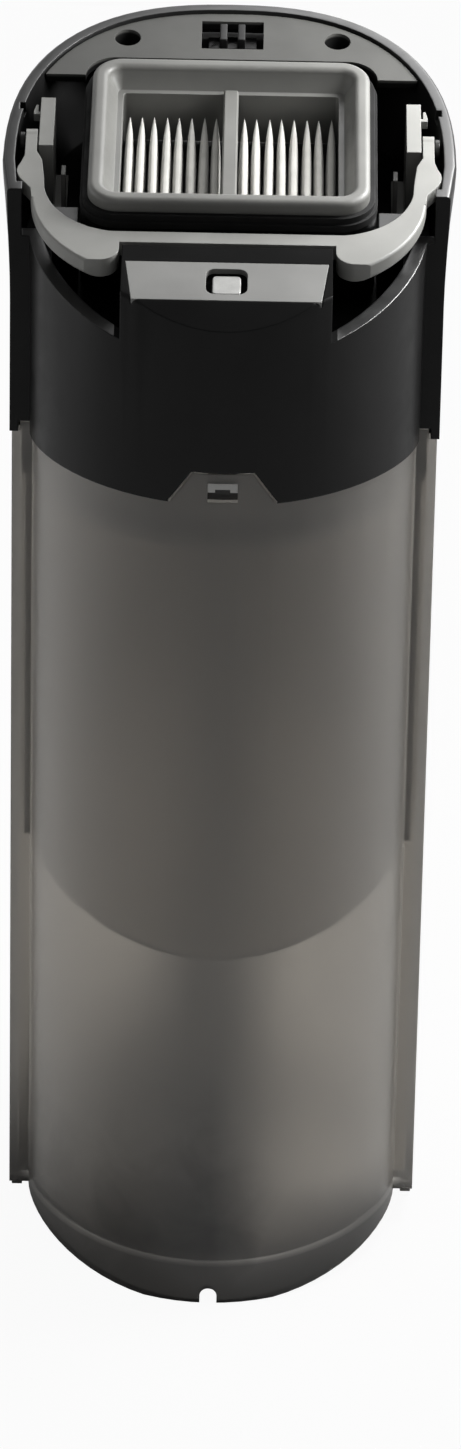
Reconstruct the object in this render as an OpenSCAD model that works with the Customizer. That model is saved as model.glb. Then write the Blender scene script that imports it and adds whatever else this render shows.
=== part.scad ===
// Dirty water tank of an upright wet and dry floor washer.
// A smoked tank carries a black head with the filter, the float, the carrying bail and the release button.
// Millimetres, Z up, X across. The front, which docks into the machine, looks along -Y.
// The origin is under the middle of the tank, on the surface that it stands on.

/* [Plan section] */
// Width of each shoulder beside the nose
shoulder_w = 5.3; // [4:0.1:7]
// How far the nose stands in front of the shoulders
nose_d = 50; // [46:0.5:54]
// Power of the nose curve: 1 is an ellipse, more is more pointed
nose_pow = 1.28; // [1:0.02:1.4]
// Width across the shoulders
body_w = 112; // [108:0.5:118]
// How far the back stands behind the shoulders
back_d = 76.5; // [74:0.5:82]
// How far the back's curve starts behind the shoulders
side_d = 12; // [8:0.5:16]
// Power of the back's curve: 2 is an ellipse, more is squarer
back_pow = 2.45; // [2:0.05:3]

/* [Tank] */
// Height of the seam between the tank and the head
seam_z = 233.2; // [215:0.1:245]
// Wall of the tank
tank_wall = 2.2; // [1.8:0.1:2.8]
// Wall of the skirt under the tank's floor
skirt_wall = 2.8; // [2.2:0.1:3.4]
// Height of the underside of the tank's floor
floor_z = 12; // [10.5:0.5:16]
// Thickness of the tank's floor
floor_t = 2.4; // [2:0.1:3.2]
// Height of the shoulders' lower end over the stand
shoulder_z = 9.4; // [6:0.2:10]
// Length of the flat under the nose that the tank stands on
toe_d = 4; // [2:0.5:8]
// Width of the drain notch under the nose
drain_w = 4.6; // [3:0.2:7]
// Height of the drain notch under the nose
drain_h = 4.4; // [3:0.2:6.5]

/* [Inlet] */
// Inner radius of the riser tube
riser_r = 13; // [11:0.25:14]
// Wall of the riser tube
riser_wall = 1.8; // [1.4:0.1:2.4]
// Height of the riser tube's upper end
riser_top_z = 196; // [170:1:206]
// Distance of the riser tube's axis behind the shoulders
riser_y = 44; // [40:0.5:48]
// Height of the socket that holds the riser tube
socket_h = 14; // [8:0.5:20]
// Radius of the bore in the inlet seal
seal_bore_r = 12; // [10:0.25:13]
// Thickness of the inlet seal
seal_t = 5; // [4:0.5:6]

/* [Head] */
// Tilt of the top of the head, rising to the back
tilt = 18; // [14:0.5:20]
// Height of the top of the head over the shoulders
rim_z = 300.6; // [290:0.2:312]
// Wall of the head's shell
shell_wall = 2.4; // [2:0.1:3]
// How far the rim flares out past the tank
flare = 2.5; // [1:0.1:3.5]
// Height of the flared band under the rim
flare_h = 30; // [24:1:36]
// Depth of the tray's floor under the rim
tray_depth = 25.5; // [24:0.5:28]
// Thickness of the tray's floor
tray_t = 2; // [1.6:0.1:3]
// Depth of the finger openings' edge under the rim, at the shoulders
finger_drop = 12.8; // [10:0.2:16]
// Slope of the finger openings' edge, rising to the back
finger_slope = 0.32; // [0.2:0.01:0.36]
// Half width of the front block
block_half_w = 27; // [26:0.25:28]
// Slope position of the front block's back face, in front of the shoulders
block_back = 23.6; // [23:0.2:26]
// How far the front bevel drops from the plate to the nose
bevel_drop = 6; // [4:0.5:8]

/* [Tank lid] */
// Height of the lid plate's underside over the seam
lid_rise = 6; // [5:0.5:9]
// Thickness of the lid plate
lid_t = 2.6; // [2:0.1:3.4]
// How far the lid's plug reaches down into the tank
plug_h = 13; // [10:0.5:18]
// Wall of the lid's plug
plug_wall = 2; // [1.6:0.1:2.6]
// Running clearance between the head and the tank
head_gap = 0.5; // [0.3:0.05:0.7]
// Height of the gasket round the plug
gasket_h = 5; // [3:0.5:7]

/* [Separator] */
// Height of the sleeve's lower edge at the nose
sleeve_z = 101.4; // [80:0.2:140]
// Rise of the sleeve's lower edge from the nose to the back, as a slope
sleeve_slope = 0.25; // [0.1:0.01:0.35]
// Wall of the sleeve
sleeve_wall = 1.6; // [1.2:0.1:2.2]
// Gap between the sleeve and the tank's wall
sleeve_gap = 1.4; // [1:0.1:2.5]

/* [Float] */
// Radius of the float
float_r = 12; // [10:0.25:12.5]
// Height of the float
float_h = 20; // [16:0.5:24]
// How far the float rises to shut the air port
float_travel = 12; // [8:0.5:14]
// Gap between the float and its cage
float_gap = 0.8; // [0.5:0.1:1.2]
// Wall of the float's cage
cage_wall = 1.8; // [1.4:0.1:2.2]

/* [Filter] */
// Room on each side of the filter for the lugs and the bail
filter_side = 19.5; // [18.5:0.5:21]
// Room behind the filter for the deck and the latch
deck_room = 26; // [24.5:0.5:28]
// Slope position of the filter's front edge, in front of the shoulders
filter_front = 12; // [10:0.2:13]
// Radius of the filter's corners
filter_r = 8; // [6:0.25:10]
// Depth of the filter's foot under its seat
filter_foot = 17; // [15:0.5:20]
// Width of the filter's lip
lip_w = 4.2; // [3.6:0.1:4.6]
// Height of the filter's seat over the head's top
seat_rise = 1.8; // [1:0.1:2.4]
// Height of the filter's lip over its seat
lip_rise = 3.9; // [3:0.1:4.5]
// Radius of the rounded edges of the filter's lip
lip_r = 1.5; // [0.8:0.1:1.7]
// Depth of the filter's mouth down to its inner ledge
mouth_depth = 6; // [5:0.1:8]
// Width of the slope inside the filter's lip
slope_w = 2.4; // [1.6:0.1:3]
// Width of the filter's inner ledge
ledge_w = 1.5; // [1:0.1:2.5]
// Width of the bar across the filter
bar_w = 4; // [3:0.25:5]
// Number of pleats on each side of the bar
pleats = 8; // [6:1:9]
// Height of the pleats over the fleece's sheet
pleat_h = 9.6; // [7:0.2:10]
// Slope position of the pleats' far tips, behind the shoulders
pleat_far = 40; // [36:0.5:41]

/* [Deck] */
// Distance of the deck's front edge behind the filter
deck_behind = 0.5; // [0.2:0.1:2]
// Gap behind the filter up to the deck's inner edge
deck_gap = 8.5; // [7:0.5:10]
// Thickness of the deck
deck_t = 2.4; // [2:0.1:3]
// Depth of the deck's top under the rim
deck_drop = 0.8; // [0.5:0.1:2]
// Radius of the locating bores in the deck
dowel_r = 3.5; // [3:0.1:4]
// Depth of the locating bores in the deck
dowel_h = 8; // [6:0.5:9]
// Distance of the locating bores inside the tank's sides
dowel_side = 28; // [26.5:0.5:31]
// Distance of the locating bores in front of the tank's back
dowel_back = 11.5; // [11:0.1:12.5]
// Width of the latch slot
slot_w = 16.5; // [14:0.5:18]
// Length of the latch slot
slot_l = 12.4; // [12.2:0.2:13.4]

/* [Release button] */
// Width of the button
button_w = 26; // [20:0.5:30]
// Height of the button
button_h = 11; // [9:0.5:12]
// Depth of the button's middle under the rim's highest point
button_drop = 12.2; // [11.4:0.2:13]
// How far the button is pressed in
button_travel = 3; // [2:0.25:3.5]
// Gap round the button
button_gap = 0.5; // [0.3:0.05:0.8]

/* [Bail handle] */
// Slope position of the bail's pivot, behind the shoulders
pivot_v = 24; // [22:0.5:26]
// Depth of the bail's pivot under the rim
pivot_drop = 1; // [0:0.25:2]
// Radius of the bail's pins
pin_r = 1.6; // [1.3:0.05:1.8]
// Radius of the bail's arm tips
tip_r = 3.4; // [2.8:0.1:3.6]
// Thickness of the bail's arms and crossbar
bail_t = 4.4; // [3.5:0.1:5]
// Thickness of the bail's pads
pad_t = 5.6; // [5:0.1:7]
// Height of the bail's top over the rim
bail_rise = 0; // [0:0.25:1]
// Width of the bail's arm tips
arm_w = 3; // [2.6:0.1:3.4]
// Width of the bail's crossbar
crossbar_w = 4.5; // [3.5:0.25:5]
// Slope position of the crossbar's back edge, in front of the shoulders
crossbar_back = 17.8; // [17.6:0.1:18.4]

/* [Front plate] */
// Slope position of the plate's back edge, in front of the shoulders
plate_back = 30.2; // [29:0.2:33]
// Thickness of the plate
plate_t = 1.6; // [1.2:0.1:2]
// Width of the window in the plate
window_w = 10.6; // [8:0.2:12]
// Length of the window in the plate
window_l = 10.4; // [8:0.2:11]

/* [Front snap] */
// Width of the snap tab at the seam
tab_w = 27; // [22:0.5:32]
// Width of the snap tab at its top
tab_top_w = 15.4; // [13:0.2:18]
// Height of the snap tab
tab_h = 8.4; // [7:0.2:9]
// Width of the window in the snap tab
tab_window_w = 7.8; // [6:0.2:9]
// Height of the window in the snap tab
tab_window_h = 5.2; // [4:0.2:5.6]

/* [Hidden] */

$fn = 64;
nose_steps = 36;
back_steps = 44;
// Small sizes: a fit between pieces of one body, a seat under a moving piece, and how far a cut runs past
fit = 0.1;
seat = 0.2;
past = 1;
reach = 3 * body_w;
seam_gap = 0.5;
half_w = body_w / 2;
nose_half_w = half_w - shoulder_w;
slope = tan(tilt);
flare_rings = [1, 0.8, 0.62, 0.46, 0.32, 0.2, 0.1];
// Radius of the rim's outer edge
rim_r = 1;
// How far the head stands proud of the tank
shell_proud = 0.6;
rim_back = (back_d + shell_proud) * (1 + flare / back_d);
// The box's middle comes over the origin
mid_y = (nose_d + shell_proud - rim_back) / 2;
// Tank
relief_back = 16;
tab_depth = 6;
tab_gap = 0.5;
tab_window_z = seam_z + 0.6;
lug_w = 3.4;
lug_h = 2.4;
lug_gap = 0.5;
riser_out_r = riser_r + riser_wall;
seal_r = riser_out_r + 0.3;
socket_r = seal_r + 2;
// Shell
plate_front = 45.8;
bevel_a = atan(bevel_drop / (nose_d + shell_proud - plate_front * cos(tilt)));
ledge_t = 1.6;
ledge_in = 2;
block_t = 4;
block_wall = 2;
plate_half_back = block_half_w - 1;
plate_half_front = 24.2;
window_r = 2.4;
pocket_h = 1.4;
insert_w = 7.4;
insert_l = 7.6;
insert_h = 1.9;
// Filter and its seat
filter_w = body_w - 2 * filter_side;
filter_l = back_d - deck_room + filter_front;
filter_mid = -filter_front + filter_l / 2;
body_inset = 3;
plug_play = 0.5;
gasket_t = 2;
gasket_out = 2;
lip_top = seat_rise + lip_rise;
ledge_w0 = lip_top - mouth_depth;
gasket_step = 0.7;
media_inset = lip_w + slope_w + ledge_w;
media_w = filter_w - 2 * media_inset - 2 * fit;
media_l = filter_l - 2 * media_inset - 2 * fit;
media_foot = filter_foot - 1;
media_base = 1.2;
pleat_gap = 0.2;
pleat_tip = 0.35;
pleat_steps = 8;
bar_drop = 4;
bar_proud = 1.2;
pleat_pitch = (media_w - bar_w) / 2 / pleats;
// Tray and lid plate
well_out = 1.8;
shelf_gap = 0.7;
shelf_l = 10.5;
shelf_back = 0.5;
shelf_wall = 1.6;
duct_w = filter_w - 21;
duct_l = filter_l - 18.5;
duct_wall = 2;
duct_r = 4;
duct_y = filter_mid * cos(tilt) + (tray_depth + tray_t) * sin(tilt);
lid_z = seam_z + lid_rise;
lid_top = lid_z + lid_t;
post_r = 4;
post_side = 20;
post_x = half_w - post_side;
post_ys = [-nose_d / 4, riser_y + 6];
screw_r = 1.5;
screw_l = 8;
head_r = 2.8;
head_h = 1.8;
port_r = 9;
groove_d = 1;
groove_z = seam_z - plug_h + 3;
cage_slot = 8;
float_y = duct_y - duct_l / 2 + port_r + duct_wall;
cage_r = float_r + float_gap + cage_wall;
cage_h = cage_wall + seat + float_h + float_travel + 0.3;
// Deck and release button
dowel_wall = 1;
dowel_leg_r = 2.8;
dowel_y = back_d - dowel_back;
dowel_x = half_w - dowel_side;
dowel_z = top_z(dowel_y) - (deck_drop + deck_t / 2) / cos(tilt);
deck_side = well_out + 0.4;
deck_front = filter_l - filter_front + deck_behind;
button_z = top_z(back_d) - button_drop;
button_face = back_d + 2.6;
button_in = button_face - 7;
button_r = 3.5;
hook_w = 13;
hook_drop = 4.5;
fin_x = 2.4;
fin_w = 2;
hook_t = 5;
hook_y = button_in - hook_t;
fin_front = hook_y - 2.1;
fin_back = button_in - seat;
// The slot's front edge clears the fins when the button is pressed
slot_v = (fin_front - button_travel - 0.3 - (deck_drop + deck_t) * sin(tilt)) / cos(tilt);
guide_w = 1.6;
guide_h = 8;
guide_play = 0.4;
spring_r = 2.2;
spring_wire = 0.4;
spring_turns = 4;
spring_l = 6.5;
coil_steps = 16;
coil_sides = 6;
// Bail
pivot_w = bail_rise - pivot_drop - bail_t / 2;
arm_in = half_w - shell_wall - arm_w - 0.2;
lug_x = half_w - 9.8;
lug_t = 3.8;
lug_l = 21;
lug_foot_t = 1.6;
rib_x = half_w - 13.1;
rib_w = 1.2;
rib_v = 16.5;
rib_l = 4;
rib_low = 8;
// Small clips on the lugs, and the notches in the rim beside them
clip_v = 33;
clip_l = 4.2;
clip_w = 1.2;
clip_h = 2.4;
clip_drop = 0.8;
clip_out = 1.8;
notch_side = 2.9;
notch_d = 2.4;
notch_w = 2.8;
notch_h = 3;
pin_head_r = 2.6;
pin_head_t = 1.2;
pin_end = arm_in + arm_w + 0.3;
// Corner pads of the bail: crescents between an outer and an inner arc
pad_out_r = 34.6;
pad_out_side = 39.4;
pad_out = [half_w - pad_out_side, -1.6];
pad_in_r = 21;
pad_in_side = 29;
pad_in = [half_w - pad_in_side, 3];
pad_end_x = block_half_w + 0.8;
pad_edge_r = 0.8;
pad_foot_r = 2.4;
pad_end_r = 5;
pad_low = 29.8;
pad_back = 1;
pin_play = 0.08;

// Plan of the body, grown by d all round, from the right shoulder round the back to the nose
function sign_pow(v, p) = sign(v) * pow(abs(v), p);
function back_point(i, d) = let (a = 180 * i / back_steps)
    [(half_w + d) * sign_pow(cos(a), 2 / back_pow),
     side_d + (back_d - side_d + d) * pow(sin(a), 2 / back_pow)];
function nose_point(i, d) = let (a = 180 * i / nose_steps)
    [-(nose_half_w + d) * cos(a), -d - nose_d * pow(sin(a), nose_pow)];
function plan(d) = concat(
    [[half_w + d, -d]], [for (i = [0 : back_steps]) back_point(i, d)],
    [[-half_w - d, -d]], [for (i = [0 : nose_steps]) nose_point(i, d)]);

// Height of the top plane over the point y of the plan
function top_z(y) = rim_z + slope * y;
function ease(t) = t <= 0 ? 0 : t >= 1 ? 1 : t * t * (3 - 2 * t);
// The flare fades out over the front of the shoulders
flare_from = -6;
flare_fade = 14;
function flare_share(y) = ease((y - flare_from) / flare_fade);

module stand() {
    translate([0, mid_y, 0])
    children();
}

module at_plan(d, z0, z1) {
    translate([0, 0, z0])
    linear_extrude(z1 - z0)
    polygon(plan(d));
}

// Local frame of the tilted top: x across, y up the slope, z out of the top plane
module on_top() {
    translate([0, 0, rim_z])
    rotate([tilt, 0, 0])
    children();
}

module over_top(w) {
    on_top()
    translate([-reach, -reach, w])
    cube(2 * reach);
}

// Everything of the plan, grown by d, between two heights over the top plane
module tilted_slab(d, w0, w1) {
    difference() {
        at_plan(d, seam_z, seam_z + reach);
        over_top(w1);
        on_top()
        translate([-reach, -reach, w0 - 2 * reach])
        cube(2 * reach);
    }
}

// Solid of the head's outline, flared under the rim: d grows it, low and high move its ends,
// and soft is the radius of its upper edge. A row is a depth under the rim and an inset.
module head_form(d, low, high, soft) {
    base = plan(d);
    n = len(base);
    rows = concat([for (share = flare_rings) [share * flare_h, 0]],
        soft > 0 ? [for (a = [0 : 30 : 90]) soft * [1 - sin(a), 1 - cos(a)]] : [[-high, 0]]);
    // The caps are fans from the middle of the back, which every point of the plan can see
    fan = 1 + back_steps / 2;
    function ring_point(p, row) = let (
        f = flare * ease(1 - row[0] / flare_h) * flare_share(p[1]),
        x = p[0] * (1 + (f - row[1]) / half_w),
        y = p[1] > 0 ? p[1] * (1 + (f - row[1]) / back_d) : p[1] * (1 - row[1] / nose_d))
        [x, y, top_z(y) - row[0]];
    points = concat([for (p = base) [p[0], p[1], seam_z + low]],
        [for (row = rows, p = base) ring_point(p, row)]);
    sides = [for (r = [0 : len(rows) - 1], i = [0 : n - 1]) let (j = (i + 1) % n, a = r * n, b = a + n)
        each [[a + i, b + i, a + j], [a + j, b + i, b + j]]];
    caps = [[for (i = [0 : n - 1]) (fan + i) % n],
        [for (i = [n : -1 : 1]) len(rows) * n + (fan + i) % n]];
    polyhedron(points, concat(caps, sides), convexity = 6);
}

module rounded_rect(size_x, size_y, r) {
    square([size_x - 2 * r, size_y], center = true);
    square([size_x, size_y - 2 * r], center = true);
    for (sx = [-1, 1], sy = [-1, 1])
        translate([sx * (size_x / 2 - r), sy * (size_y / 2 - r)])
        circle(r);
}

// Carries a profile round a rounded rectangle: the profile's x is the distance from a corner's centre
module rect_sweep(size_x, size_y, r) {
    for (a = [0, 180]) {
        rotate([0, 0, a])
        translate([size_x / 2 - r, 0, 0])
        rotate([90, 0, 0])
        linear_extrude(size_y - 2 * r, center = true)
        children();
        rotate([0, 0, a + 90])
        translate([size_y / 2 - r, 0, 0])
        rotate([90, 0, 0])
        linear_extrude(size_x - 2 * r, center = true)
        children();
    }
    for (i = [0 : 3])
        translate([(i == 0 || i == 3 ? 1 : -1) * (size_x / 2 - r), (i < 2 ? 1 : -1) * (size_y / 2 - r), 0])
        rotate([0, 0, 90 * i])
        rotate_extrude(angle = 90)
        children();
}

module rounded_box(size_x, size_y, size_z, r) {
    linear_extrude(size_z)
    rounded_rect(size_x, size_y, r);
}

// Tank

// The skirt's edge rises from the toe to the shoulders' ends, and the back comes down again
module skirt_relief() {
    rotate([90, 0, 90])
    linear_extrude(2 * reach, center = true)
    polygon([[-nose_d + toe_d, 0], [0, shoulder_z], [relief_back / 2, shoulder_z],
        [relief_back, 0], [relief_back, -past], [-nose_d + toe_d, -past]]);
}

module drain_notch() {
    translate([0, -nose_d, drain_h - drain_w / 2])
    rotate([90, 0, 0])
    cylinder(r = drain_w / 2, h = 4 * skirt_wall, center = true);
    translate([-drain_w / 2, -nose_d - 2 * skirt_wall, -past])
    cube([drain_w, 4 * skirt_wall, drain_h - drain_w / 2 + past]);
}

// Prism with the snap tab's outline, grown by d, through the nose's wall
module tab_prism(d) {
    translate([0, tab_depth - nose_d, 0])
    rotate([90, 0, 0])
    linear_extrude(2 * tab_depth)
    polygon([[-tab_w / 2 - d, seam_z - past], [tab_w / 2 + d, seam_z - past],
        [tab_w / 2 + d, seam_z + d], [tab_top_w / 2 + d, seam_z + tab_h + d],
        [-tab_top_w / 2 - d, seam_z + tab_h + d], [-tab_w / 2 - d, seam_z + d]]);
}

module tab_window() {
    translate([-tab_window_w / 2, -nose_d - past, tab_window_z])
    cube([tab_window_w, tab_depth, tab_window_h]);
}

// Small lugs on the upper ends of the shoulders, grown by d
module shoulder_lugs(d, depth) {
    for (side = [-1, 1])
        translate([side * (half_w - tank_wall - lug_w / 2) - lug_w / 2 - d, -past, seam_z - past])
        cube([lug_w + 2 * d, depth + past + d, lug_h + past + d]);
}

module tank_body() {
    color([0.32, 0.31, 0.3, 0.7])
    stand()
    difference() {
        union() {
            difference() {
                at_plan(0, 0, seam_z);
                at_plan(-tank_wall, floor_z + floor_t, seam_z + past);
                at_plan(-skirt_wall, -past, floor_z);
                skirt_relief();
                drain_notch();
            }
            intersection() {
                difference() {
                    at_plan(0, seam_z - past, seam_z + tab_h + past);
                    at_plan(-tank_wall, seam_z - 2 * past, seam_z + tab_h + 2 * past);
                }
                union() {
                    tab_prism(0);
                    shoulder_lugs(0, tank_wall);
                }
            }
            translate([0, riser_y, floor_z - seal_t])
            cylinder(r = socket_r, h = seal_t + socket_h);
        }
        tab_window();
        translate([0, riser_y, floor_z])
        cylinder(r = riser_out_r + fit / 2, h = socket_h + past);
        translate([0, riser_y, floor_z - seal_t - past])
        cylinder(r = seal_r, h = seal_t + 2 * past);
    }
}

// Pipe that carries water and air up into the tank, its mouth cut slanting
module riser_tube() {
    color([0.25, 0.25, 0.25])
    stand()
    translate([0, riser_y, floor_z + past])
    difference() {
        cylinder(r = riser_out_r, h = riser_top_z - floor_z - past);
        translate([0, 0, -past])
        cylinder(r = riser_r, h = riser_top_z);
        translate([0, riser_out_r, riser_top_z - floor_z - past])
        rotate([25, 0, 0])
        translate([-reach / 2, -reach, 0])
        cube([reach, reach + past, reach]);
    }
}

module inlet_seal() {
    color([0.08, 0.08, 0.08])
    stand()
    translate([0, riser_y, floor_z - seal_t])
    difference() {
        cylinder(r = seal_r, h = seal_t + past);
        translate([0, 0, -past])
        cylinder(r = seal_bore_r, h = seal_t + 3 * past);
    }
}

// Light clip in the upper half of the snap tab's window
module catch_clip() {
    color([0.6, 0.6, 0.58])
    stand()
    translate([-tab_window_w / 2, -nose_d + seam_gap, tab_window_z + tab_window_h / 2])
    difference() {
        cube([tab_window_w, tank_wall - seam_gap, tab_window_h / 2]);
        translate([tab_window_w / 4, -past, -past])
        cube([tab_window_w / 2, tank_wall + 2 * past, 1.8 * past]);
    }
}

// Head

// Opening beside the front block and in the shoulder's front wall, for a finger under the bail
module finger_cut(side) {
    cut_w = half_w - shell_wall - block_half_w;
    edge_z = rim_z - finger_drop;
    intersection() {
        translate([side * (block_half_w + cut_w / 2) - cut_w / 2, -reach, 0])
        cube([cut_w, reach + shell_wall + past, reach]);
        rotate([90, 0, 90])
        linear_extrude(2 * reach, center = true)
        polygon([[-reach, edge_z - reach * finger_slope], [reach, edge_z + reach * finger_slope],
            [reach, edge_z + reach], [-reach, edge_z + reach]]);
    }
}

module bevel_cut() {
    on_top()
    translate([0, -plate_front, 0])
    rotate([bevel_a - tilt, 0, 0])
    translate([-reach, -reach, 0])
    cube([2 * reach, reach, reach]);
}

module ledge(z0, z1) {
    difference() {
        at_plan(-shell_wall + past, z0, z1);
        at_plan(-shell_wall - ledge_in, z0 - past, z1 + past);
    }
}

module plate_outline(d) {
    polygon([[-plate_half_back - d, -plate_back + d], [plate_half_back + d, -plate_back + d],
        [plate_half_front + d, -plate_front - past * d], [-plate_half_front - d, -plate_front - past * d]]);
}

module plate_recess() {
    on_top() {
        translate([0, 0, -plate_t])
        linear_extrude(plate_t + past)
        plate_outline(fit);
        translate([0, -(plate_back + plate_front) / 2, -plate_t - pocket_h])
        rounded_box(window_w, window_l, plate_t + pocket_h, window_r);
    }
}

module rim_notches() {
    on_top()
    for (side = [-1, 1])
        translate([side * (half_w - notch_side + notch_d / 2) - notch_d / 2, clip_v + clip_w, -notch_h])
        cube([notch_d, notch_w, notch_h + past]);
}

module button_hole() {
    translate([0, back_d - 4 * shell_wall, button_z])
    rotate([-90, 0, 0])
    rounded_box(button_w + 2 * button_gap, button_h + 2 * button_gap,
        8 * shell_wall, button_r + button_gap);
}

// Block between the finger openings, with walls down to the tray
module front_block() {
    difference() {
        intersection() {
            tilted_slab(-shell_wall + past, -tray_depth, 0);
            on_top()
            translate([-block_half_w, -reach, -reach])
            cube([2 * block_half_w, reach - block_back, 2 * reach]);
        }
        intersection() {
            tilted_slab(-shell_wall, -2 * tray_depth, -block_t);
            on_top()
            translate([block_wall - block_half_w, -reach, -reach])
            cube([2 * (block_half_w - block_wall), reach - block_back - block_wall, 2 * reach]);
        }
    }
}

module housing_shell() {
    color([0.08, 0.08, 0.08])
    stand()
    difference() {
        union() {
            difference() {
                head_form(shell_proud, 0, 0, rim_r);
                head_form(-shell_wall, -past, past, 0);
                finger_cut(-1);
                finger_cut(1);
            }
            front_block();
            // Ledge that the lid plate is clamped up against
            ledge(lid_top, lid_top + ledge_t);
            // Ledge that carries the tray
            difference() {
                tilted_slab(-shell_wall + past, -tray_depth - tray_t - ledge_t, -tray_depth - tray_t);
                at_plan(-shell_wall - ledge_in, seam_z, seam_z + reach);
            }
        }
        bevel_cut();
        tab_prism(tab_gap);
        shoulder_lugs(lug_gap, tank_wall + past);
        plate_recess();
        rim_notches();
        button_hole();
    }
}

module filter_rect(d, w0, w1) {
    translate([0, filter_mid, w0])
    rounded_box(filter_w + 2 * d, filter_l + 2 * d, w1 - w0, max(1, filter_r + d));
}

module duct_prism(d, z0, z1) {
    translate([0, duct_y, z0])
    rounded_box(duct_w + 2 * d, duct_l + 2 * d, z1 - z0, duct_r + d);
}

module at_posts() {
    for (sx = [-1, 1], y = post_ys)
        translate([sx * post_x, y, lid_z])
        children();
}

// Tray with the well that the filter stands in
module tray() {
    color([0.1, 0.1, 0.1])
    stand()
    difference() {
        union() {
            tilted_slab(-shell_wall - fit, -tray_depth - tray_t, -tray_depth);
            on_top() {
                filter_rect(well_out, -tray_depth - tray_t / 2, -gasket_t);
                tray_shelves();
            }
            latch_guides();
            tray_posts();
            spring_seat();
        }
        on_top()
        filter_rect(plug_play - body_inset, -tray_depth, past);
        duct_prism(0, seam_z, seam_z + reach);
        at_posts()
            cylinder(r = screw_r, h = lid_t + screw_l);
    }
}

// Posts from the tray's floor down to the lid plate
module tray_posts() {
    difference() {
        at_posts()
            translate([0, 0, lid_t])
            cylinder(r = post_r, h = reach);
        over_top(-tray_depth - tray_t / 2);
    }
}

// Shelves beside the well's front corners that the bail's pads lie on, open to the front
module tray_shelves() {
    shelf_in = filter_w / 2 + well_out + shelf_gap;
    shelf_w = lug_x - shelf_gap - shelf_in;
    shelf_h = tray_depth + tray_t / 2 - pad_t - seat;
    for (side = [-1, 1])
        translate([side * (shelf_in + shelf_w / 2) - shelf_w / 2, -shelf_back - shelf_l,
            -tray_depth - tray_t / 2])
        difference() {
            cube([shelf_w, shelf_l, shelf_h]);
            translate([shelf_wall, -past, -past])
            cube([shelf_w - 2 * shelf_wall, shelf_l - shelf_wall + past, shelf_h - shelf_wall + past]);
        }
}

// Two low walls that the latch slides between
module latch_guides() {
    guide_front = hook_y - button_travel - 1;
    intersection() {
        tilted_slab(-shell_wall - fit, -tray_depth - tray_t / 2, guide_h - tray_depth);
        for (side = [-1, 1])
            translate([side * (hook_w / 2 + guide_play + guide_w / 2) - guide_w / 2, guide_front, seam_z])
            cube([guide_w, button_in - button_travel - 0.4 - guide_front, reach]);
    }
}

module spring_seat() {
    difference() {
        translate([-spring_r - 2, hook_y - spring_l - guide_w, seam_z])
        cube([2 * spring_r + 4, guide_w, button_z + spring_r + 2 - seam_z]);
        over_top(-deck_drop - deck_t - seat);
        on_top()
        translate([-reach, -reach, -2 * reach - tray_depth - tray_t / 2])
        cube(2 * reach);
    }
}

module deck_cover() {
    color([0.5, 0.5, 0.49])
    stand()
    difference() {
        union() {
            intersection() {
                head_form(-shell_wall - 0.4, 0, 0, 0);
                on_top()
                translate([-reach, deck_front, -deck_drop - deck_t])
                cube([2 * reach, reach, deck_t]);
            }
            // Bosses of the locating bores, with legs down to the tray
            difference() {
                for (side = [-1, 1])
                    translate([side * dowel_x, dowel_y, seam_z]) {
                        cylinder(r = dowel_leg_r, h = reach);
                        translate([0, 0, dowel_z - dowel_h - dowel_wall - seam_z])
                        cylinder(r = dowel_r + dowel_wall, h = reach);
                    }
                over_top(-deck_drop - deck_t / 2);
                on_top()
                translate([-reach, -reach, -2 * reach - tray_depth])
                cube(2 * reach);
            }
        }
        on_top() {
            translate([0, filter_mid + deck_gap / 2, -reach])
            rounded_box(filter_w + 2 * deck_side, filter_l + deck_gap, 2 * reach, filter_r);
            translate([-slot_w / 2, slot_v, -deck_drop - 2 * deck_t])
            cube([slot_w, slot_l, 4 * deck_t]);
        }
        for (side = [-1, 1])
            translate([side * dowel_x, dowel_y, dowel_z - dowel_h])
            cylinder(r = dowel_r, h = reach);
    }
}

module filter_gasket() {
    color([0.06, 0.06, 0.06])
    stand()
    on_top()
    difference() {
        union() {
            filter_rect(gasket_out, -gasket_t, 0);
            filter_rect(gasket_out - gasket_step, -gasket_t, seat_rise);
        }
        filter_rect(plug_play - body_inset, -gasket_t - past, seat_rise + past);
    }
}

module strike_plate() {
    color([0.66, 0.66, 0.65])
    stand()
    on_top()
    translate([0, 0, -plate_t])
    difference() {
        linear_extrude(plate_t)
        plate_outline(0);
        translate([0, -(plate_back + plate_front) / 2, -past])
        rounded_box(window_w, window_l, plate_t + 2 * past, window_r);
    }
}

module strike_insert() {
    color([0.92, 0.92, 0.92])
    stand()
    on_top()
    translate([0, -(plate_back + plate_front) / 2, -plate_t - pocket_h])
    rounded_box(insert_w, insert_l, insert_h, window_r / 2);
}

// Lid plate with the plug that closes the tank and the duct up to the filter
module tank_lid() {
    color([0.12, 0.12, 0.12])
    stand()
    difference() {
        union() {
            at_plan(-shell_wall - fit, lid_z, lid_top);
            difference() {
                at_plan(-tank_wall - head_gap, seam_z - plug_h, lid_z + lid_t / 2);
                at_plan(-tank_wall - head_gap - plug_wall, seam_z - plug_h - past, lid_z);
                gasket_ring(past);
            }
            difference() {
                duct_prism(0, lid_z + lid_t / 2, seam_z + reach);
                over_top(-tray_depth);
            }
        }
        duct_prism(-duct_wall, lid_top, seam_z + reach);
        translate([0, float_y, lid_z - past])
        cylinder(r = port_r, h = lid_t + 2 * past);
        at_posts()
            translate([0, 0, -past])
            cylinder(r = screw_r + fit, h = lid_t + 2 * past);
    }
}

// Ring in the plug's groove, its outer face grown by d
module gasket_ring(d) {
    difference() {
        at_plan(-tank_wall - 0.6 * head_gap + d, groove_z, groove_z + gasket_h);
        at_plan(-tank_wall - head_gap - groove_d, groove_z - past, groove_z + gasket_h + past);
    }
}

module lid_gasket() {
    color([0.05, 0.05, 0.05])
    stand()
    gasket_ring(0);
}

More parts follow.
